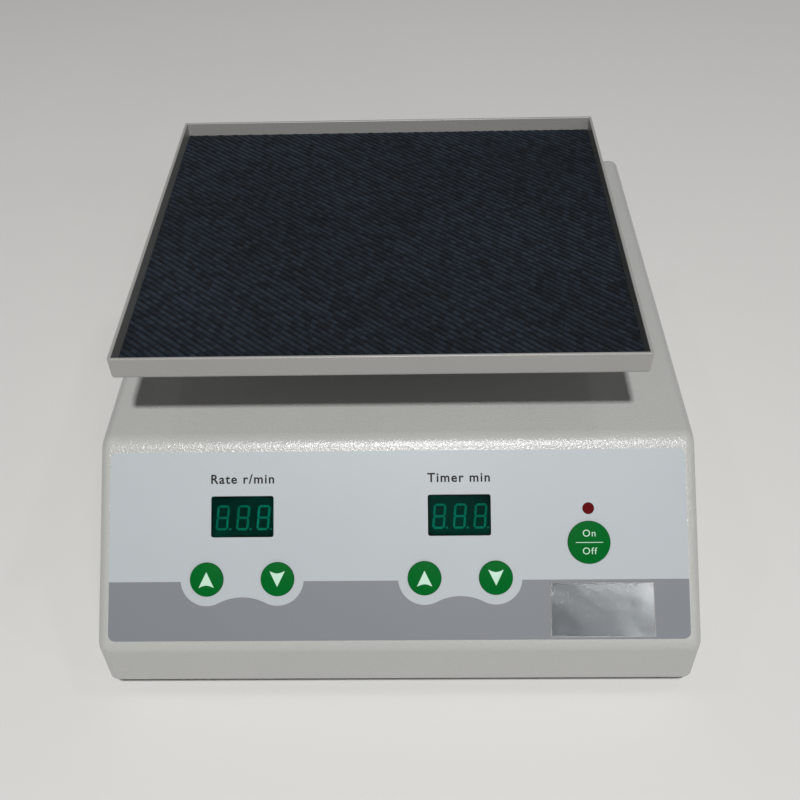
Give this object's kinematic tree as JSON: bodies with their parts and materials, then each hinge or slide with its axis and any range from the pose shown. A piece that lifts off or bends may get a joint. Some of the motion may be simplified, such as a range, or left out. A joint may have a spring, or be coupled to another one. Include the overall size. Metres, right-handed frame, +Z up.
{
  "type": "rocker shaker",
  "caption": "Bench rocker shaker: housing with a sloping keypad of displays and keys, and a shallow tray with a mat that rocks front to back on a shaft above it.",
  "frame": {"origin": "centre of the part's footprint, on the surface that its feet stand on", "axes": "+Z up; -Y towards the keypad and the user; +X to the user's right"},
  "size_m": [0.22, 0.2596, 0.1184],
  "materials": {
    "housing_paint": "satin powder coat",
    "tray_paint": "satin powder coat",
    "mat_fabric": "woven twill",
    "zinc_sheet": "zinc plated",
    "film_print": "satin",
    "green_window": "clear",
    "display_face": "satin",
    "red_lens": "gloss",
    "clear_film": "gloss",
    "circuit_board": "satin",
    "black_plastic": "matt",
    "key_green": "satin",
    "foot_rubber": "matt",
    "brass": "turned",
    "bronze": "sintered",
    "aluminium": "machined",
    "motor_steel": "plated",
    "screw_steel": "zinc plated"
  },
  "bodies": {
    "housing": {"base_plate": "zinc_sheet", "base_screws": "screw_steel", "bearing_post_left": "aluminium", "bearing_post_right": "aluminium", "board_components": "black_plastic", "board_screws": "screw_steel", "board_spacers": "brass", "bracket_screws": "screw_steel", "bushing_left": "bronze", "bushing_right": "bronze", "clear_label": "clear_film", "control_board": "circuit_board", "foot_front_left": "foot_rubber", "foot_front_right": "foot_rubber", "foot_rear_left": "foot_rubber", "foot_rear_right": "foot_rubber", "foot_screws": "screw_steel", "gearbox": "motor_steel", "gearbox_screws": "screw_steel", "housing_shell": "housing_paint", "inlet_pins": "brass", "inlet_screws": "screw_steel", "key_switches": "black_plastic", "m4_nuts": "screw_steel", "motor_bracket": "zinc_sheet", "motor_can": "motor_steel", "panel_film": "film_print", "post_screws": "screw_steel", "power_inlet": "black_plastic", "power_switch_frame": "black_plastic", "run_lamp": "red_lens", "speed_display": "display_face", "speed_window": "green_window", "supply_board": "circuit_board", "supply_components": "black_plastic", "supply_spacers": "brass", "time_display": "display_face", "time_window": "green_window"},
    "platform": {"tray": "tray_paint", "mat": "mat_fabric", "tray_cradle": "zinc_sheet", "tray_studs": "screw_steel", "stud_nuts": "screw_steel", "rocking_shaft": "screw_steel", "retaining_rings": "screw_steel", "shaft_collars": "aluminium", "shaft_set_screws": "screw_steel", "drive_lever": "aluminium"},
    "crank": {"crank_disc": "aluminium", "crank_pin": "screw_steel", "crank_roller": "screw_steel", "crank_screw": "screw_steel", "output_shaft": "screw_steel"},
    "power_rocker": {"power_switch_rocker": "black_plastic"},
    "speed_up_key": {"speed_up_key": "key_green"},
    "speed_down_key": {"speed_down_key": "key_green"},
    "time_up_key": {"time_up_key": "key_green"},
    "time_down_key": {"time_down_key": "key_green"},
    "start_stop_key": {"start_stop_key": "key_green"}
  },
  "joints": [
    {"name": "tray_rock", "type": "hinge", "parent": "housing", "child": "platform", "pos_m": [-0.0049, 0.01062, 0.0949], "axis": [1, 0, 0], "range_deg": [-9, 9]},
    {"name": "crank_turn", "type": "hinge", "parent": "housing", "child": "crank", "pos_m": [-0.0011, 0.01062, 0.038], "axis": [1, 0, 0], "range_deg": [-59, 59]},
    {"name": "speed_up_press", "type": "slide", "parent": "housing", "child": "speed_up_key", "axis": [0, 0.6594, -0.7518], "range_m": [0, 0.0003], "stiffness_N_per_m": 800, "springref_m": -0.0002},
    {"name": "speed_down_press", "type": "slide", "parent": "housing", "child": "speed_down_key", "axis": [0, 0.6594, -0.7518], "range_m": [0, 0.0003], "stiffness_N_per_m": 800, "springref_m": -0.0002},
    {"name": "time_up_press", "type": "slide", "parent": "housing", "child": "time_up_key", "axis": [0, 0.6594, -0.7518], "range_m": [0, 0.0003], "stiffness_N_per_m": 800, "springref_m": -0.0002},
    {"name": "time_down_press", "type": "slide", "parent": "housing", "child": "time_down_key", "axis": [0, 0.6594, -0.7518], "range_m": [0, 0.0003], "stiffness_N_per_m": 800, "springref_m": -0.0002},
    {"name": "start_stop_press", "type": "slide", "parent": "housing", "child": "start_stop_key", "axis": [0, 0.6594, -0.7518], "range_m": [0, 0.0003], "stiffness_N_per_m": 800, "springref_m": -0.0002},
    {"name": "power_rocker_tilt", "type": "hinge", "parent": "housing", "child": "power_rocker", "pos_m": [0.022, 0.12502, 0.044], "axis": [1, 0, 0], "range_deg": [0, 20]}
  ],
  "couplings": [
    {"joint": "crank_turn", "follows": "tray_rock", "ratio": -6.5}
  ]
}
